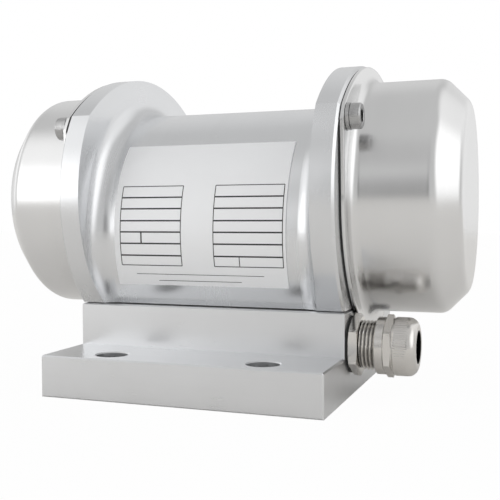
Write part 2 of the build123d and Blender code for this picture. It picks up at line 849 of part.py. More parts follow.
def make_cover_washers():
    washer = Circle(cover_washer_diameter / 2) - Circle(cover_screw_diameter / 2 + press_gap)
    end = cover_face_x + cover_washer_thickness
    return [across(washer, cover_face_x, end, y, z) for y, z in cover_screw_places]


# Cable gland on the right-hand end of the base block


def gland_hexagon(x_from, x_to, bore):
    """A hexagon with corners up and down, its corners turned off at both ends."""
    hexagon = RegularPolygon(gland_hex_width / 2, 6, major_radius=False, rotation=30)
    corner = gland_hex_width / math.sqrt(3)
    face = gland_hex_width / 2
    slope = (corner - face) * math.tan(math.radians(gland_hex_bevel_angle))
    blank = polygon([
        (x_from, bore),
        (x_from, face),
        (x_from + slope, corner),
        (x_to - slope, corner),
        (x_to, face),
        (x_to, bore),
    ])
    return across(hexagon, x_from, x_to, gland_y, gland_z) & turned(blank, gland_plane)


def make_gland_body():
    thread = gland_thread_diameter / 2
    chamber = seal_outer / 2 + press_gap
    body = disc(gland_start_x, gland_body_end_x, thread, gland_plane)
    body += gland_hexagon(gland_hex_x, gland_thread_x, gland_bore / 2)
    body -= disc(gland_start_x, gland_body_end_x, gland_bore / 2, gland_plane)
    return body - disc(seal_start_x, gland_body_end_x, chamber, gland_plane)


def make_gland_o_ring():
    thread = gland_thread_diameter / 2 + press_gap
    return ring(end_x, gland_hex_x, thread, thread + gland_ring_width, gland_plane)


def make_gland_seal():
    return ring(seal_start_x, seal_start_x + seal_length, seal_bore / 2, seal_outer / 2, gland_plane)


def make_gland_slip_ring():
    outer = gland_thread_diameter / 2 + thread_gap - face_gap
    start = slip_ring_x
    return ring(start, start + slip_ring_thickness, seal_bore / 2 + face_gap, outer, gland_plane)


def make_gland_nut():
    collar = disc(gland_nut_x, nut_hex_x, nut_collar_diameter / 2, gland_plane)
    dome = polygon([
        (nut_dome_x, 0),
        (nut_end_x, 0),
        (nut_end_x, nut_dome_diameter / 2),
        (nut_dome_x, nut_dome_diameter / 2),
    ])
    dome = rounded(dome, nut_end_x, nut_dome_diameter / 2, nut_dome_round)
    body = collar + gland_hexagon(nut_hex_x, nut_dome_x, nut_mouth / 2) + turned(dome, gland_plane)
    thread = gland_thread_diameter / 2 + thread_gap
    lip_x = nut_end_x - nut_lip_thickness
    cavity = polygon([
        (gland_nut_x, 0),
        (gland_nut_x, thread),
        (nut_shoulder_x, thread),
        (nut_shoulder_x, thread - nut_shoulder_step),
        (lip_x, nut_mouth / 2),
        (nut_end_x, nut_mouth / 2),
        (nut_end_x, 0),
    ])
    return body - turned(cavity, gland_plane)


def save(name, shape):
    """Write one node; a list of separate solids is written as a group."""
    if isinstance(shape, (list, ShapeList)):
        shape = Compound(children=list(shape))
    export_step(shape, f"parts/{name}.step")


save("base_block", make_base_block())
save("motor_housing", make_motor_housing())
save("housing_gasket", make_housing_gasket())
save("housing_screws", make_housing_screws())
save("rating_plate", make_rating_plate())
save("stator_core", make_stator_core())
save("stator_windings", make_stator_windings())
save("stator_leads", make_stator_leads())
save("terminal_block", make_terminal_block())
save("terminal_screws", make_terminal_screws())
save("earth_screw", make_earth_screw())
save("rotor_core", make_rotor_core())
save("rotor_cage", make_rotor_cage())
save("shaft", make_shaft())
save("gland_body", make_gland_body())
save("gland_o_ring", make_gland_o_ring())
save("gland_seal", make_gland_seal())
save("gland_slip_ring", make_gland_slip_ring())
save("gland_nut", make_gland_nut())

end_pieces = {
    "end_shield": make_end_shield(),
    "shield_screws": make_shield_screws(),
    "bearing_outer_ring": make_outer_ring(),
    "bearing_inner_ring": make_inner_ring(),
    "bearing_balls": ball_set(ball_diameter / 2),
    "bearing_cage": make_ball_cage(),
    "bearing_clip": make_bearing_clip(),
    "bearing_spacer": make_bearing_spacer(),
    "fixed_weight": make_fixed_weight(),
    "weight_key": make_weight_key(),
    "adjustable_weight": make_adjustable_weight(),
    "clamp_screw": make_clamp_screw(),
    "shaft_washer": make_shaft_washer(),
    "shaft_nut": make_shaft_nut(),
    "cover": make_cover(),
    "cover_gasket": make_cover_gasket(),
    "cover_screws": make_cover_screws(),
    "cover_washers": make_cover_washers(),
}
for name, shape in end_pieces.items():
    save(f"right_{name}", shape)
    if isinstance(shape, (list, ShapeList)):
        save(f"left_{name}", [mirrored(piece) for piece in shape])
    else:
        save(f"left_{name}", mirrored(shape))
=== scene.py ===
import json
import math

import bmesh
import bpy
import numpy as np
from mathutils import Matrix, Vector


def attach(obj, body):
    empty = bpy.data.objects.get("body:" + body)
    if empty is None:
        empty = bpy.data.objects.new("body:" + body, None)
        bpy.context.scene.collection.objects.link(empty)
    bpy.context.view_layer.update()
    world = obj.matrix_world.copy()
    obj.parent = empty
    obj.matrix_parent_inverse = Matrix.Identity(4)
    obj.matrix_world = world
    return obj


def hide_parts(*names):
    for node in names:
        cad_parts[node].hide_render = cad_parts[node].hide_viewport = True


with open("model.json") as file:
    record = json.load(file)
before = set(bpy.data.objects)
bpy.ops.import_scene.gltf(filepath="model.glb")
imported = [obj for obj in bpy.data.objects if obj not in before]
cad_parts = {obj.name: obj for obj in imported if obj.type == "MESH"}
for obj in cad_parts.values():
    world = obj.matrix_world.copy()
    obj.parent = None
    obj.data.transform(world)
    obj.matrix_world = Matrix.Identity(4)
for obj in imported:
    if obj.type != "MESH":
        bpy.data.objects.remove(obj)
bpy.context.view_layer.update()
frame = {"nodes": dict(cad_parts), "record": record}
nodes = frame["nodes"]

# Sizes in metres and turns in degrees, in the frame of the CAD model; SPLIT_TURNS is in radians
AXIS_Z = 0.081
ARCH_Z = 0.066
ARCH_R = 0.055
GLAND_Y = -0.0365
GLAND_Z = 0.021
GLAND_FLATS = 0.022
HEX_BEVEL = 13.0
COVER_FACE_X = 0.0610
SCREW_CIRCLE = 0.0609
SCREW_TURNS = (29.5, 150.5, -90.0)
SPLIT_TURNS = (0.6, 2.4, 4.0)


# Node helpers


def link(tree, a, b):
    tree.links.new(a, b)


def math_node(tree, operation, a, b=None, clamp=False):
    """A math node; each operand is a number or a socket. Returns the result socket."""
    node = tree.nodes.new("ShaderNodeMath")
    node.operation = operation
    node.use_clamp = clamp
    for i, value in enumerate((a, b)):
        if value is None:
            continue
        if isinstance(value, (int, float)):
            node.inputs[i].default_value = value
        else:
            link(tree, value, node.inputs[i])
    return node.outputs[0]


def vector_node(tree, operation, a, b=None):
    """A vector math node; each operand is a triple or a socket. Returns the result socket."""
    node = tree.nodes.new("ShaderNodeVectorMath")
    node.operation = operation
    for i, value in enumerate((a, b)):
        if value is None:
            continue
        if isinstance(value, (tuple, list)):
            node.inputs[i].default_value = value
        else:
            link(tree, value, node.inputs[i])
    return node.outputs["Value"] if operation in ("DOT_PRODUCT", "LENGTH") else node.outputs[0]


def noise_node(tree, vector, scale, detail, rough):
    """A noise texture on a vector socket. Returns its value socket."""
    node = tree.nodes.new("ShaderNodeTexNoise")
    node.inputs["Scale"].default_value = scale
    node.inputs["Detail"].default_value = detail
    node.inputs["Roughness"].default_value = rough
    link(tree, vector, node.inputs["Vector"])
    return node.outputs["Fac"]


def new_group(name, inputs, outputs):
    """An empty shader node group. Inputs are (name, socket type, default)."""
    tree = bpy.data.node_groups.new(name, "ShaderNodeTree")
    for label, kind, default in inputs:
        socket = tree.interface.new_socket(label, in_out="INPUT", socket_type=kind)
        socket.default_value = default
    for label, kind in outputs:
        tree.interface.new_socket(label, in_out="OUTPUT", socket_type=kind)
    source = tree.nodes.new("NodeGroupInput")
    sink = tree.nodes.new("NodeGroupOutput")
    return tree, source, sink


def metal_group(name, lines):
    """Machined metal: tool lines, soft blotches and fine specks, from Object coordinates.

    lines is "turned" for lines running round the X axis at a given height, or "milled" for
    straight lines along X. Gives a colour, a roughness and a bump height.
    """
    tree, source, sink = new_group(
        name,
        [
            ("Light", "NodeSocketColor", (0.8, 0.8, 0.8, 1)),
            ("Dark", "NodeSocketColor", (0.6, 0.6, 0.6, 1)),
            ("Roughness", "NodeSocketFloat", 0.25),
            ("Blotch", "NodeSocketFloat", 0.1),
            ("Line Scale", "NodeSocketFloat", 1.0),
            ("Axis Height", "NodeSocketFloat", AXIS_Z),
        ],
        [("Color", "NodeSocketColor"), ("Roughness", "NodeSocketFloat"), ("Height", "NodeSocketFloat")],
    )
    where = tree.nodes.new("ShaderNodeTexCoord").outputs["Object"]
    parts = tree.nodes.new("ShaderNodeSeparateXYZ")
    link(tree, where, parts.inputs[0])
    x, y, z = parts.outputs
    combine = tree.nodes.new("ShaderNodeCombineXYZ")
    if lines == "turned":
        drop = math_node(tree, "SUBTRACT", z, source.outputs["Axis Height"])
        across = math_node(tree, "MULTIPLY", y, y)
        upright = math_node(tree, "MULTIPLY", drop, drop)
        radius = math_node(tree, "SQRT", math_node(tree, "ADD", across, upright))
        scaled_x = math_node(tree, "MULTIPLY", x, source.outputs["Line Scale"])
        scaled_r = math_node(tree, "MULTIPLY", radius, source.outputs["Line Scale"])
        link(tree, scaled_x, combine.inputs[0])
        link(tree, scaled_r, combine.inputs[1])
    else:
        scaled_y = math_node(tree, "MULTIPLY", y, source.outputs["Line Scale"])
        scaled_z = math_node(tree, "MULTIPLY", z, source.outputs["Line Scale"])
        link(tree, math_node(tree, "MULTIPLY", x, 0.02), combine.inputs[0])
        link(tree, scaled_y, combine.inputs[1])
        link(tree, scaled_z, combine.inputs[2])
    fine = noise_node(tree, combine.outputs[0], 2400.0, 3.0, 0.6)
    wide = noise_node(tree, combine.outputs[0], 260.0, 2.0, 0.5)
    blotch = noise_node(tree, where, 38.0, 3.0, 0.55)
    speck = noise_node(tree, where, 1800.0, 2.0, 0.6)
    slow, lined = math_node(tree, "MULTIPLY", blotch, 0.6), math_node(tree, "MULTIPLY", wide, 0.4)
    mix_amount = math_node(tree, "ADD", slow, lined)
    mix = tree.nodes.new("ShaderNodeMix")
    mix.data_type = "RGBA"
    link(tree, mix_amount, mix.inputs["Factor"])
    link(tree, source.outputs["Dark"], mix.inputs["A"])
    link(tree, source.outputs["Light"], mix.inputs["B"])
    link(tree, mix.outputs["Result"], sink.inputs["Color"])
    swing = math_node(tree, "MULTIPLY", math_node(tree, "SUBTRACT", blotch, 0.5), source.outputs["Blotch"])
    grain = math_node(tree, "MULTIPLY", math_node(tree, "SUBTRACT", fine, 0.5), 0.08)
    change = math_node(tree, "ADD", swing, grain)
    rough = math_node(tree, "ADD", source.outputs["Roughness"], change, clamp=True)
    link(tree, rough, sink.inputs["Roughness"])
    narrow, broad = math_node(tree, "MULTIPLY", fine, 0.7), math_node(tree, "MULTIPLY", wide, 0.5)
    height = math_node(tree, "ADD", narrow, broad)
    height = math_node(tree, "ADD", height, math_node(tree, "MULTIPLY", speck, 0.10))
    link(tree, height, sink.inputs["Height"])
    return tree


def plain_group(name):
    """Moulded or coated surface: slow colour drift and a fine skin, from Object coordinates."""
    tree, source, sink = new_group(
        name,
        [
            ("Light", "NodeSocketColor", (0.8, 0.8, 0.8, 1)),
            ("Dark", "NodeSocketColor", (0.6, 0.6, 0.6, 1)),
            ("Roughness", "NodeSocketFloat", 0.5),
            ("Grain Scale", "NodeSocketFloat", 900.0),
        ],
        [("Color", "NodeSocketColor"), ("Roughness", "NodeSocketFloat"), ("Height", "NodeSocketFloat")],
    )
    where = tree.nodes.new("ShaderNodeTexCoord").outputs["Object"]
    drift = noise_node(tree, where, 60.0, 3.0, 0.6)
    grain = tree.nodes.new("ShaderNodeTexNoise")
    grain.inputs["Detail"].default_value = 2.0
    link(tree, where, grain.inputs["Vector"])
    link(tree, source.outputs["Grain Scale"], grain.inputs["Scale"])
    mix = tree.nodes.new("ShaderNodeMix")
    mix.data_type = "RGBA"
    link(tree, drift, mix.inputs["Factor"])
    link(tree, source.outputs["Dark"], mix.inputs["A"])
    link(tree, source.outputs["Light"], mix.inputs["B"])
    link(tree, mix.outputs["Result"], sink.inputs["Color"])
    swing = math_node(tree, "MULTIPLY", math_node(tree, "SUBTRACT", grain.outputs["Fac"], 0.5), 0.12)
    rough = math_node(tree, "ADD", source.outputs["Roughness"], swing, clamp=True)
    link(tree, rough, sink.inputs["Roughness"])
    link(tree, grain.outputs["Fac"], sink.inputs["Height"])
    return tree


def painted_shade_group(name):
    """Painted shade in grooves and bores about the gland's axis, from Object coordinates.

    It keeps Depth of Color up to radius From and rises smoothly to all of it at radius To.
    """
    tree, source, sink = new_group(
        name,
        [
            ("Color", "NodeSocketColor", (0.8, 0.8, 0.8, 1)),
            ("From", "NodeSocketFloat", 0.009),
            ("To", "NodeSocketFloat", 0.010),
            ("Depth", "NodeSocketFloat", 0.2),
        ],
        [("Color", "NodeSocketColor")],
    )
    where = tree.nodes.new("ShaderNodeTexCoord").outputs["Object"]
    centre = vector_node(tree, "SUBTRACT", where, (0.0, GLAND_Y, GLAND_Z))
    across = vector_node(tree, "MULTIPLY", centre, (0.0, 1.0, 1.0))
    step = tree.nodes.new("ShaderNodeMapRange")
    step.interpolation_type = "SMOOTHSTEP"
    link(tree, vector_node(tree, "LENGTH", across), step.inputs["Value"])
    link(tree, source.outputs["From"], step.inputs["From Min"])
    link(tree, source.outputs["To"], step.inputs["From Max"])
    link(tree, source.outputs["Depth"], step.inputs["To Min"])
    mix = tree.nodes.new("ShaderNodeMix")
    mix.data_type = "RGBA"
    mix.inputs["A"].default_value = (0, 0, 0, 1)
    link(tree, step.outputs["Result"], mix.inputs["Factor"])
    link(tree, source.outputs["Color"], mix.inputs["B"])
    link(tree, mix.outputs["Result"], sink.inputs["Color"])
    return tree


TURNED = metal_group("turned_metal", "turned")
PAINTED_SHADE = painted_shade_group("painted_hollow_shade")
MILLED = metal_group("milled_metal", "milled")
PLAIN = plain_group("plain_surface")


def material(name, group, metallic, bump, settings, coat=0.0):
    """A Principled material whose colour, roughness and bump come from a node group."""
    mat = bpy.data.materials.new(name)
    mat.use_nodes = True
    tree = mat.node_tree
    shader = tree.nodes["Principled BSDF"]
    shader.inputs["Metallic"].default_value = metallic
    shader.inputs["Coat Weight"].default_value = coat
    finish = tree.nodes.new("ShaderNodeGroup")
    finish.node_tree = group
    for key, value in settings.items():
        finish.inputs[key].default_value = value
    link(tree, finish.outputs["Color"], shader.inputs["Base Color"])
    link(tree, finish.outputs["Roughness"], shader.inputs["Roughness"])
    relief = tree.nodes.new("ShaderNodeBump")
    relief.inputs["Strength"].default_value = bump[0]
    relief.inputs["Distance"].default_value = bump[1]
    link(tree, finish.outputs["Height"], relief.inputs["Height"])
    link(tree, relief.outputs[0], shader.inputs["Normal"])
    return mat


def grey(value, tint):
    return (value * tint[0], value * tint[1], value * tint[2], 1.0)


NEUTRAL = (1.0, 1.0, 1.0)
COOL = (0.985, 0.995, 1.01)
WARM = (1.0, 0.975, 0.94)


def metal(name, group, bump, light, dark, roughness, blotch, line_scale, tint=NEUTRAL, axis=AXIS_Z):
    """A machined metal between two greys; bump is a strength and a height in metres."""
    settings = {
        "Light": grey(light, tint),
        "Dark": grey(dark, tint),
        "Roughness": roughness,
        "Blotch": blotch,
        "Line Scale": line_scale,
        "Axis Height": axis,
    }
    return material(name, group, 1.0, bump, settings)


def surface(name, metallic, bump, light, dark, roughness, grain, coat=0.0):
    """A plain surface between two colours or greys."""
    light, dark = [
        (*tone, 1.0) if isinstance(tone, tuple) else grey(tone, NEUTRAL) for tone in (light, dark)
    ]
    settings = {"Light": light, "Dark": dark, "Roughness": roughness, "Grain Scale": grain}
    return material(name, PLAIN, metallic, bump, settings, coat)


def paint_shade_in_hollows(mat, start, full, depth):
    """Paints shade into a gland metal: its colour falls to depth of itself below radius start, back to
    full at radius full.
    """
    tree = mat.node_tree
    hollow = tree.nodes.new("ShaderNodeGroup")
    hollow.node_tree = PAINTED_SHADE
    hollow.inputs["From"].default_value = start
    hollow.inputs["To"].default_value = full
    hollow.inputs["Depth"].default_value = depth
    target = tree.nodes["Principled BSDF"].inputs["Base Color"]
    link(tree, target.links[0].from_socket, hollow.inputs["Color"])
    link(tree, hollow.outputs["Color"], target)
    return mat


SMOOTH = (0.10, 0.00002)
PLATED = (0.04, 0.00002)
looks = {
    "cover": metal("drawn_stainless", TURNED, SMOOTH, 0.80, 0.72, 0.22, 0.10, 0.4),
    "housing": metal(
        "turned_stainless", TURNED, (0.04, 0.00001), 0.80, 0.71, 0.25, 0.12, 0.6, COOL, ARCH_Z
    ),
    "block": metal("milled_stainless", MILLED, (0.12, 0.00003), 0.80, 0.72, 0.30, 0.14, 0.8, COOL),
    "screw": metal("screw_steel", TURNED, (0.15, 0.00003), 0.52, 0.40, 0.26, 0.15, 2.0),
    "ground": metal("ground_steel", TURNED, SMOOTH, 0.70, 0.60, 0.18, 0.08, 3.0),
    "weight": metal("sawn_steel", MILLED, (0.35, 0.00006), 0.45, 0.33, 0.42, 0.20, 1.0),
    "laminated": metal("electrical_steel", TURNED, (0.6, 0.0001), 0.36, 0.22, 0.45, 0.15, 3.0),
    "nickel": metal("nickel_plated_brass", TURNED, PLATED, 0.76, 0.66, 0.20, 0.10, 0.5, WARM),
    "brass": material(
        "plain_brass", TURNED, 1.0, (0.18, 0.00003),
        {
            "Light": (0.83, 0.63, 0.30, 1), "Dark": (0.70, 0.50, 0.22, 1),
            "Roughness": 0.25, "Blotch": 0.12, "Line Scale": 2.0,
        },
    ),
    "copper": surface(
        "varnished_copper", 0.8, (0.6, 0.0003), (0.62, 0.27, 0.12), (0.42, 0.16, 0.07), 0.30, 500.0, 0.6
    ),
    "aluminium": surface("cast_aluminium", 1.0, (0.4, 0.0002), 0.75, 0.58, 0.42, 700.0),
    "label": surface(
        "label_sheet", 0.2, (0.05, 0.00002), grey(0.95, COOL)[:3], grey(0.91, COOL)[:3], 0.42, 1200.0
    ),
    "ink": surface("label_ink", 0.0, (0.05, 0.00002), 0.030, 0.018, 0.5, 1500.0),
    "rubber": surface("black_rubber", 0.0, (0.3, 0.00006), 0.022, 0.010, 0.62, 1500.0),
    "gasket": surface("gasket_sheet", 0.0, (0.4, 0.00008), 0.05, 0.02, 0.7, 1800.0),
    "insulation": surface(
        "lead_insulation", 0.0, (0.1, 0.00003), (0.40, 0.03, 0.02), (0.28, 0.02, 0.015), 0.4, 1500.0
    ),
    "moulded": surface(
        "moulded_plastic", 0.0, (0.15, 0.00004), (0.78, 0.75, 0.66), (0.68, 0.65, 0.56), 0.42, 1400.0
    ),
    # Painted shade: the thread's roots fall to 0.42 of the colour, the cap nut's bore to nearly black.
    "nickel_thread": paint_shade_in_hollows(
        metal("nickel_plated_thread", TURNED, PLATED, 0.80, 0.72, 0.16, 0.10, 0.5, WARM),
        0.0090, 0.0098, 0.42,
    ),
    "nickel_cap": paint_shade_in_hollows(
        metal("nickel_plated_cap", TURNED, PLATED, 0.76, 0.66, 0.20, 0.10, 0.5, WARM),
        0.00655, 0.0069, 0.01,
    ),
}

# The look of each material slot in the CAD record
slot_looks = {
    "milled_steel": "block",
    "drawn_stainless": "cover",
    "ground_steel": "ground",
    "screw_steel": "screw",
    "weight_steel": "weight",
    "electrical_steel": "laminated",
    "nickel_plated_brass": "nickel",
    "plain_brass": "brass",
    "winding_copper": "copper",
    "cast_aluminium": "aluminium",
    "label_sheet": "label",
    "black_rubber": "rubber",
    "gasket_sheet": "gasket",
    "lead_insulation": "insulation",
    "terminal_plastic": "moulded",
    "cage_plastic": "moulded",
    "slip_ring_plastic": "rubber",
}


def dress(obj, look):
    """Gives an object of the CAD model one of the looks as its only material."""
    obj.data.materials.clear()
    obj.data.materials.append(looks[look])


for part in frame["record"]["subparts"]:
    name = part["node"]
    dress(nodes[name], slot_looks[part["material_slot"]])
dress(nodes["motor_housing"], "housing")


# Detail pieces: surfaces computed with numpy


def mesh_object(name, points, faces, look, body, smooth_angle=35.0):
    """A mesh object at the origin from points in metres and quads or triangles."""
    mesh = bpy.data.meshes.new(name)
    mesh.from_pydata([tuple(p) for p in points], [], faces)
    welded = bmesh.new()
    welded.from_mesh(mesh)
    bmesh.ops.remove_doubles(welded, verts=welded.verts, dist=1e-7)
    bmesh.ops.recalc_face_normals(welded, faces=welded.faces)
    welded.to_mesh(mesh)
    welded.free()
    mesh.validate()
    mesh.polygons.foreach_set("use_smooth", np.ones(len(mesh.polygons), dtype=bool))
    mesh.set_sharp_from_angle(angle=math.radians(smooth_angle))
    obj = bpy.data.objects.new(name, mesh)
    bpy.context.scene.collection.objects.link(obj)
    obj.data.materials.append(looks[look])
    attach(obj, body)
    return obj


def grid_faces(rows, columns):
    """Quads of a closed skin whose points are stored row by row; the last column joins the first."""
    i, j = np.meshgrid(np.arange(rows - 1), np.arange(columns), indexing="ij")
    k = (j + 1) % columns
    corners = [i * columns + j, i * columns + k, (i + 1) * columns + k, (i + 1) * columns + j]
    return np.stack(corners, axis=-1).reshape(-1, 4).tolist()


def round_skin(x, radius, turns, y0, z0):
    """Points of a skin about an axis along X through (y0, z0).

    Row i, column j is (x_ij, y0 - r_ij cos t_j, z0 + r_ij sin t_j). x and radius are
    arrays of shape (rows, columns).
    """
    t = np.asarray(turns)[None, :]
    y = y0 - radius * np.cos(t)
    z = z0 + radius * np.sin(t)
    return np.stack([x, y, z], axis=-1).reshape(-1, 3)


def revolved(rows, turns, y0, z0, side=1):
    """Points and faces of a skin from rows of (x, radius), each radius a number or an array."""
    columns = len(turns)
    x = np.array([np.full(columns, row[0]) for row in rows])
    r = np.array([np.broadcast_to(np.asarray(row[1], float), (columns,)) for row in rows])
    return round_skin(side * x, r, turns, y0, z0), grid_faces(len(rows), columns)


def full_turn(columns):
    return np.linspace(0, 2 * math.pi, columns, endpoint=False)


def hexagon_radius(turns, across_flats, corner_turn):
    """Distance from centre to a hexagon's side: (a/2) / cos of the turn from the nearest side's middle."""
    off = np.mod(turns - corner_turn, math.pi / 3) - math.pi / 6
    return across_flats / 2 / np.cos(off)


def hexagon_rows(turns, start, end, steps):
    """Rows of a hexagon from start to end, its corners cut by a cone of HEX_BEVEL degrees at each end.

    The radius is min(hexagon, a / 2 + distance to the nearer end / tan(bevel)).
    """
    face, corner = GLAND_FLATS / 2, GLAND_FLATS / math.sqrt(3)
    tangent = math.tan(math.radians(HEX_BEVEL))
    slope = (corner - face) * tangent
    hexagon = hexagon_radius(turns, GLAND_FLATS, math.pi / 2)
    low, high = np.linspace(start, start + slope, steps), np.linspace(end - slope, end, steps)
    for x in np.concatenate([low, high]):
        yield x, np.minimum(hexagon, face + min(x - start, end - x) / tangent)


def make_gland_body():
    """Threaded gland body with its hexagon.

    Outer radius: thread zones R + depth * (tri(x / pitch - t / 2 pi) - 1), where tri is a
    triangle wave from 0 to 1 with narrow flats; hexagon zone min(hexagon, cone), the cones
    cutting the corners. Ends and bore close the skin.
    """
    start, hex_from, hex_to, end = 0.049, 0.0598, 0.0635, 0.074
    pitch, crest, depth, runout = 0.0015, 0.00995, 0.00092, 0.0004
    entry_bore, seal_seat, seal_seat_x = 0.007, 0.00831, 0.063
    lead = 0.0010
    turns = full_turn(192)
    root = crest - depth

    def thread_rows(first, last, free_end):
        count = int(round((last - first) / pitch * 16)) + 1
        for x in np.linspace(first, last, count):
            phase = np.mod(x / pitch - turns / (2 * math.pi), 1.0)
            wave = np.clip(1.12 * (1 - np.abs(2 * phase - 1)) - 0.06, 0, 1)
            cut = (1 - wave) * depth
            if free_end:
                cut = cut * np.clip((last - x) / 0.0008, 0, 1)
                cut = np.maximum(cut, np.clip(lead - (last - x), 0, lead))
            yield x, crest - cut

    rows = [(start, entry_bore), (start, root)]
    rows += thread_rows(start + runout / 2, hex_from - runout, False)
    rows += [(hex_from, root)]
    rows += hexagon_rows(turns, hex_from, hex_to, 7)
    rows += [(hex_to, root)]
    rows += thread_rows(hex_to + runout, end, True)
    rows += [(end, seal_seat), (seal_seat_x, seal_seat), (seal_seat_x, entry_bore), (start, entry_bore)]
    return revolved(rows, turns, GLAND_Y, GLAND_Z)


def make_gland_nut():
    """Cap nut: collar, hexagon, and a domed grip with fine grooves along the axis.

    Radius against x follows the rows; in the hexagon zone it is min(hexagon, cone).
    The grip has n grooves: r - g * w(x) * max(0, cos n t), where w ramps from 0 to 1 and back
    near the ends of the grooves. The mouth's edge is a quarter round.
    """
    start, hex_from, hex_to, end = 0.0699, 0.0735, 0.0766, 0.0860
    collar, neck, dome, rounding = 0.01145, 0.0112, 0.01165, 0.0038
    bore, bore_end, seal_room, mouth, lip = 0.01005, 0.0786, 0.00905, 0.0065, 0.0004
    grooves, groove_depth, groove_from, groove_to = 72, 0.00010, 0.0774, 0.0832
    dome_from = hex_to + 0.0003
    turns = full_turn(576)
    rows = [(bore_end, bore), (start, bore), (start, collar - 0.0004), (start + 0.0004, collar)]
    rows += [(hex_from - 0.0002, collar), (hex_from, collar - 0.0003)]
    rows += hexagon_rows(turns, hex_from, hex_to, 6)
    rows += [(hex_to, neck), (dome_from, neck)]
    for x in np.linspace(dome_from, end - rounding, 30):
        rise = np.clip((x - dome_from) / 0.0005, 0, 1)
        window = np.clip((x - groove_from) / 0.0008, 0, 1) * np.clip((groove_to - x) / 0.0012, 0, 1)
        groove = groove_depth * window * np.clip(np.cos(grooves * turns), 0, 1)
        rows.append((x, neck + (dome - neck) * rise - groove))
    for a in np.linspace(0, math.pi / 2, 14)[1:]:
        rows.append((end - rounding + rounding * math.sin(a), dome - rounding + rounding * math.cos(a)))
    for a in np.linspace(0, math.pi / 2, 5):
        rows.append((end - lip + lip * math.cos(a), mouth + lip - lip * math.sin(a)))
    rows += [(end - 0.0024, mouth), (end - 0.0026, 0.0082), (bore_end, seal_room), (bore_end, bore)]
    return revolved(rows, turns, GLAND_Y, GLAND_Z)


points, faces = make_gland_body()
gland_body = mesh_object("gland_body_threaded", points, faces, "nickel_thread", "stator_unit", 30.0)
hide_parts("gland_body")
points, faces = make_gland_nut()
gland_nut = mesh_object("gland_nut_grooved", points, faces, "nickel_cap", "gland_cap", 30.0)
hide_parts("gland_nut")


# Ruled tables on the rating plate


def make_rules():
    """Thin ink lines on the plate, bent round the arch.

    A line from (x0, s0) to (x1, s1) is a row of quads on radius R, where s is the arc length
    up from the level of the arch axis: y = -R cos(s / R), z = arch z + R sin(s / R).
    """
    R = ARCH_R + 0.00042
    tables = [(-0.0364, -0.0085), (0.0060, 0.0355)]
    heights = [0.0856, 0.0809, 0.0762, 0.0712, 0.0665, 0.0617, 0.0567, 0.0525]
    footer = [(-0.0300, 0.0270, 0.0488), (-0.0200, 0.0170, 0.0461)]
    frame_half, row_half, footer_half = 0.00018, 0.00031, 0.00012
    longest_quad = 0.0015
    points, faces = [], []

    def arc(z):
        return R * math.asin((z - ARCH_Z) / R)

    def bar(x0, x1, s0, s1):
        count = max(1, int(abs(s1 - s0) / longest_quad))
        base = len(points)
        for s in np.linspace(s0, s1, count + 1):
            y, z = -R * math.cos(s / R), ARCH_Z + R * math.sin(s / R)
            points.append((x0, y, z))
            points.append((x1, y, z))
        for i in range(count):
            a = base + 2 * i
            faces.append((a, a + 1, a + 3, a + 2))

    arcs = [arc(z) for z in heights]
    for left, right in tables:
        for s in arcs:
            half = frame_half if s in (arcs[0], arcs[-1]) else row_half
            bar(left, right, s - half, s + half)
        for x in (left, right):
            bar(x - frame_half, x + frame_half, arcs[-1], arcs[0])
    split = tables[0][0] + 0.0098
    bar(split - row_half, split + row_half, arcs[5], arcs[4])
    split = tables[1][0] + 0.0110
    bar(split - frame_half, split + frame_half, arcs[7], arcs[6])
    for left, right, z in footer:
        bar(left, right, arc(z) - footer_half, arc(z) + footer_half)
    return points, faces


points, faces = make_rules()
rules = mesh_object("plate_rules", points, faces, "ink", "stator_unit")


# Cover screws and their spring washers


def make_cover_screw(side, y0, z0):
    """Socket head screw along X, drawn from the shank's tip to the bottom of its socket.

    Head side: r = 5 mm less a knurl 0.07 * (0.5 + 0.5 cos 54 t) mm; the rim has a 0.45 mm
    chamfer; the socket is a hexagon 5 mm across flats.
    """
    tip, seat, head = 0.0520, 0.0625, 0.0042
    shank, radius, ribs = 0.0030, 0.00500, 54
    top = seat + head
    turns = full_turn(216)
    knurl = 0.00007 * (0.5 + 0.5 * np.cos(ribs * turns))
    socket = hexagon_radius(turns, 0.00504, math.pi / 6)
    rows = [(tip, 0.0), (tip, 0.0026), (tip + 0.0005, shank), (seat, shank), (seat, 0.00475)]
    rows += [(seat + 0.0002, 0.00498), (seat + 0.0006, radius), (seat + 0.0008, radius - knurl)]
    rows += [(top - 0.0011, radius - knurl), (top - 0.0009, 0.00498), (top - 0.00045, 0.00496)]
    rows += [(top - 0.00012, 0.00462), (top, 0.00445), (top, socket + 0.00025)]
    rows += [(top - 0.0002, socket), (top - 0.0024, socket), (top - 0.0030, 0.0)]
    return revolved(rows, turns, y0, z0, side)


def make_spring_washer(side, y0, z0, gap_turn):
    """Split ring: a square section with rounded corners swept round the screw, open at one turn.

    Section corner radius c = 0.18 mm; the ring spans x from low to high and r from inner to
    outer, and its two ends stand 0.9 mm apart.
    """
    low, high, inner, outer, c = COVER_FACE_X, 0.0625, 0.00305, 0.0054, 0.00018
    middle_radius, half_gap = 0.0042, 0.00045
    corners = [
        (low + c, inner + c, 180), (low + c, outer - c, 90),
        (high - c, outer - c, 0), (high - c, inner + c, -90),
    ]
    section = []
    for cx, cr, a0 in corners:
        for a in (0, -30, -60, -90):
            t = math.radians(a0 + a)
            section.append((cx + c * math.cos(t), cr + c * math.sin(t)))
    half = half_gap / middle_radius
    turns = gap_turn + np.linspace(half, 2 * math.pi - half, 97)
    points, count = [], len(section)
    for t in turns:
        for x, r in section:
            points.append((side * x, y0 - r * math.cos(t), z0 + r * math.sin(t)))
    faces = grid_faces(len(turns), count)
    faces.append(tuple(range(count)))
    faces.append(tuple(range((len(turns) - 1) * count, len(turns) * count))[::-1])
    return points, faces


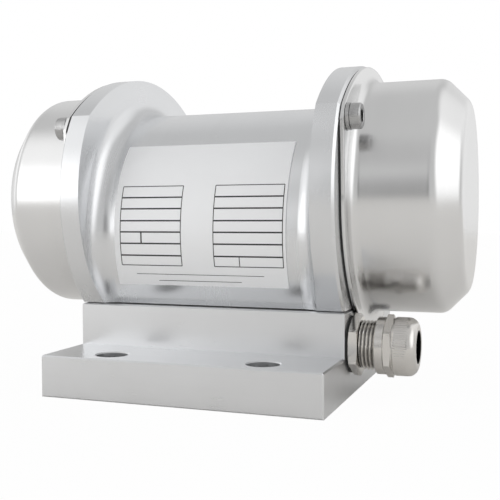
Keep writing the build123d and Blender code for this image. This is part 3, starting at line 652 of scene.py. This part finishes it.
for side, word in ((-1, "left"), (1, "right")):
    heads, rings = [], []
    for i, degrees in enumerate(SCREW_TURNS):
        t = math.radians(degrees)
        y0, z0 = -SCREW_CIRCLE * math.cos(t), AXIS_Z + SCREW_CIRCLE * math.sin(t)
        points, faces = make_cover_screw(side, y0, z0)
        heads.append(mesh_object(f"{word}_cover_screw_{i}", points, faces, "screw", "stator_unit", 32.0))
        points, faces = make_spring_washer(side, y0, z0, SPLIT_TURNS[i] + side)
        rings.append(mesh_object(f"{word}_spring_washer_{i}", points, faces, "screw", "stator_unit", 32.0))
    for obj in heads:
        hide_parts(f"{word}_cover_screws")
    for obj in rings:
        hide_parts(f"{word}_cover_washers")


# Covers


def cover_outline_radius(turns):
    """Distance from the shaft to the edge of the cover's flange, by halving, for each turn.

    A point is inside when it lies within the rim circle, the block up to the two upper screws
    or the web down to the ear; above the shaft it also lies within the housing flange's outline.
    """
    ear, rim = 0.0069, 0.058
    round_crown, flat_crown, flat_crown_drop = 0.0664, 0.0844, 0.028
    screw_turn = math.radians(SCREW_TURNS[0])
    flank = SCREW_CIRCLE * math.cos(screw_turn) + ear
    flank_z = SCREW_CIRCLE * math.sin(screw_turn)
    lean = math.acos((rim - ear) / SCREW_CIRCLE)

    def inside(y, z):
        low = np.hypot(y, z + SCREW_CIRCLE) <= ear
        side = np.abs(y) * math.sin(lean) - z * math.cos(lean) <= rim
        web = side & (z <= -rim * math.cos(lean)) & (z >= -SCREW_CIRCLE - ear * math.cos(lean))
        round_rim = np.hypot(y, z) <= rim
        slope = (flank - rim) / flank_z
        upper = (z >= 0) & (np.abs(y) <= np.minimum(rim + slope * z, flank))
        crown = (np.hypot(y, z) <= round_crown) & (np.hypot(y, z + flat_crown_drop) <= flat_crown)
        return ((round_rim | upper) & crown) | web | low

    near, far = np.full(len(turns), 0.050), np.full(len(turns), 0.080)
    for _ in range(40):
        middle = (near + far) / 2
        within = inside(-middle * np.cos(turns), middle * np.sin(turns))
        near, far = np.where(within, middle, near), np.where(within, far, middle)
    return near


def make_cover(side):
    """Deep-drawn cup with a bevelled shoulder, its flange cut to the outline above.

    The cup is turned: a flat end, a bevel with two soft corners, a straight wall and a concave
    root into the flange. Each corner is an arc of the given radius that touches both lines.
    """
    turns = full_turn(720)
    edge = cover_outline_radius(turns)
    foot, face, wall, root, on_flange = 0.0595, COVER_FACE_X, 0.0015, 0.004, 0.060
    end, radius, end_flat, bevel_length = 0.1027, 0.050, 0.0399, 0.0098
    outer_soft, inner_soft = 0.006, 0.0045

    def bend(before, corner, after, size, count):
        """Points of the arc that rounds a corner of the profile."""
        b, c, a = np.array(before), np.array(corner), np.array(after)
        u, v = (b - c) / np.linalg.norm(b - c), (a - c) / np.linalg.norm(a - c)
        half = math.acos(np.clip(u @ v, -1, 1)) / 2
        centre = c + (u + v) / np.linalg.norm(u + v) * size / math.sin(half)
        start, stop = c + u * size / math.tan(half), c + v * size / math.tan(half)
        p, q = start - centre, stop - centre
        swing = math.pi - 2 * half
        for t in np.linspace(0, 1, count):
            yield centre + (math.sin((1 - t) * swing) * p + math.sin(t * swing) * q) / math.sin(swing)

    def cup(end_x, wall_radius, soft):
        inner_end = (end_x, end_flat + wall_radius - radius)
        bevel = (end_x - bevel_length, wall_radius)
        points = list(bend((end_x, 0.0), inner_end, bevel, soft, 14))
        points += list(bend(inner_end, bevel, (foot, wall_radius), soft, 14))
        return points

    rows = [(end, 0.0), (end, 0.012), (end, 0.024)]
    rows += cup(end, radius, outer_soft)
    rows += bend((end, radius), (face, radius), (face, on_flange), root, 12)
    for x, inset in ((face, 0.0015), (face, 0.0003), (face - 0.0001, 0.0001), (face - 0.0003, 0.0)):
        rows.append((x, edge - inset))
    for x, inset in ((foot + 0.0002, 0.0), (foot, 0.0002), (foot, 0.0020)):
        rows.append((x, edge - inset))
    rows += [(foot, 0.0545), (foot + 0.0006, 0.0520), (foot + 0.0018, 0.0500), (foot + 0.0035, 0.0487)]
    rows += [(foot + 0.0055, radius - wall)] + cup(end - wall, radius - wall, inner_soft)[::-1]
    rows += [(end - wall, 0.02), (end - wall, 0.0)]
    return revolved(rows, turns, 0.0, AXIS_Z, side)


for side, word in ((-1, "left"), (1, "right")):
    points, faces = make_cover(side)
    cup = mesh_object(f"{word}_drawn_cover", points, faces, "cover", "stator_unit", 30.0)
    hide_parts(f"{word}_cover")


# Stage, light and camera


def make_floor():
    """Pale floor with a painted shadow, a touch darker round the object, that the camera sees almost
    white.
    """
    half, near, far, seen_white = 3.0, 0.09, 0.24, 0.97
    painted_shadow_tone, far_tone = (0.88, 0.865, 0.84, 1), (0.90, 0.885, 0.86, 1)
    mesh = bpy.data.meshes.new("floor")
    corners = [(-half, -half, 0), (half, -half, 0), (half, half, 0), (-half, half, 0)]
    mesh.from_pydata(corners, [], [(0, 1, 2, 3)])
    floor = bpy.data.objects.new("floor", mesh)
    bpy.context.scene.collection.objects.link(floor)
    look = bpy.data.materials.new("pale_floor")
    look.use_nodes = True
    tree = look.node_tree
    surface_node = tree.nodes["Principled BSDF"]
    where = tree.nodes.new("ShaderNodeTexCoord").outputs["Object"]
    # Painted shadow: the floor's colour is darker within radius near of the object and fades out by radius
    # far.
    spread = tree.nodes.new("ShaderNodeMapRange")
    spread.interpolation_type = "SMOOTHSTEP"
    link(tree, vector_node(tree, "LENGTH", where), spread.inputs["Value"])
    spread.inputs["From Min"].default_value = near
    spread.inputs["From Max"].default_value = far
    shade = tree.nodes.new("ShaderNodeMix")
    shade.data_type = "RGBA"
    shade.inputs["A"].default_value = painted_shadow_tone
    shade.inputs["B"].default_value = far_tone
    link(tree, spread.outputs["Result"], shade.inputs["Factor"])
    link(tree, shade.outputs["Result"], surface_node.inputs["Base Color"])
    surface_node.inputs["Roughness"].default_value = 0.9
    glow = tree.nodes.new("ShaderNodeEmission")
    glow.inputs["Color"].default_value = (1, 1, 1, 1)
    glow.inputs["Strength"].default_value = 1.0
    ray = tree.nodes.new("ShaderNodeLightPath")
    choose = tree.nodes.new("ShaderNodeMixShader")
    link(tree, math_node(tree, "MULTIPLY", ray.outputs["Is Camera Ray"], seen_white), choose.inputs[0])
    link(tree, surface_node.outputs[0], choose.inputs[1])
    link(tree, glow.outputs[0], choose.inputs[2])
    link(tree, choose.outputs[0], tree.nodes["Material Output"].inputs["Surface"])
    mesh.materials.append(look)


make_floor()


def make_world():
    """White for the camera; for light and reflections a grey room with soft round lights.

    A light has an azimuth, turned from +X towards +Y, an elevation, a reach and a strength. It
    fades by a smooth step from its middle to its reach, all angles in degrees. A card is a
    light of negative strength: the dark side of the room, in front of the motor.
    """
    room = 0.64
    lights = {
        "left key": (-137, 3, 32, 1.05),
        "left top": (-144, 38, 29, 0.52),
        "left rear": (165, 10, 28, 0.55),
        "front band": (-113, 13, 27, 0.21),
        "rear": (65, 5, 35, 0.30),
        "rear top": (120, 36, 30, 0.12),
        "right rear top": (35, 40, 32, 0.38),
        "right key": (-8, 21, 34, 0.85),
        "front card": (-93, 2, 22, -0.40),
        "top card": (-95, 35, 27, -0.10),
    }
    world = bpy.data.worlds.new("studio")
    bpy.context.scene.world = world
    world.use_nodes = True
    tree = world.node_tree
    tree.nodes.clear()
    out = tree.nodes.new("ShaderNodeOutputWorld")
    way = tree.nodes.new("ShaderNodeTexCoord").outputs["Generated"]
    total = room
    for azimuth, elevation, reach, strength in lights.values():
        turn, rise = math.radians(azimuth), math.radians(elevation)
        level = math.cos(rise)
        centre = (math.cos(turn) * level, math.sin(turn) * level, math.sin(rise))
        step = tree.nodes.new("ShaderNodeMapRange")
        step.interpolation_type = "SMOOTHSTEP"
        link(tree, vector_node(tree, "DOT_PRODUCT", way, centre), step.inputs["Value"])
        step.inputs["From Min"].default_value = math.cos(math.radians(reach))
        step.inputs["From Max"].default_value = 1.0
        step.inputs["To Max"].default_value = strength
        total = math_node(tree, "ADD", total, step.outputs["Result"])
    lit = tree.nodes.new("ShaderNodeBackground")
    lit.inputs["Color"].default_value = (1, 1, 1, 1)
    link(tree, total, lit.inputs["Strength"])
    white = tree.nodes.new("ShaderNodeBackground")
    white.inputs["Color"].default_value = (1, 1, 1, 1)
    white.inputs["Strength"].default_value = 1.0
    seen = tree.nodes.new("ShaderNodeLightPath")
    choose = tree.nodes.new("ShaderNodeMixShader")
    link(tree, seen.outputs["Is Camera Ray"], choose.inputs[0])
    link(tree, lit.outputs[0], choose.inputs[1])
    link(tree, white.outputs[0], choose.inputs[2])
    link(tree, choose.outputs[0], out.inputs["Surface"])


make_world()


def place_camera():
    """Camera at the photograph's angle: azimuth from the front, elevation, and a slight roll."""
    azimuth, elevation, roll = math.radians(20.01), math.radians(2.41), math.radians(-0.17)
    lens, sensor, place = 58.84, 36.0, (0.1333, -0.3611, 0.0732)
    level, height = math.cos(elevation), math.sin(elevation)
    back = Vector((math.sin(azimuth) * level, -math.cos(azimuth) * level, height))
    right = Vector((math.cos(azimuth), math.sin(azimuth), 0))
    up = back.cross(right)
    turned_right = math.cos(roll) * right + math.sin(roll) * up
    turned_up = -math.sin(roll) * right + math.cos(roll) * up
    data = bpy.data.cameras.new("camera")
    data.lens = lens
    data.sensor_width = sensor
    data.sensor_fit = "HORIZONTAL"
    data.clip_start = 0.01
    obj = bpy.data.objects.new("camera", data)
    bpy.context.scene.collection.objects.link(obj)
    basis = Matrix((turned_right, turned_up, back)).transposed()
    obj.matrix_world = Matrix.Translation(place) @ basis.to_4x4()
    bpy.context.scene.camera = obj


place_camera()
bpy.context.scene.view_settings.view_transform = "Standard"
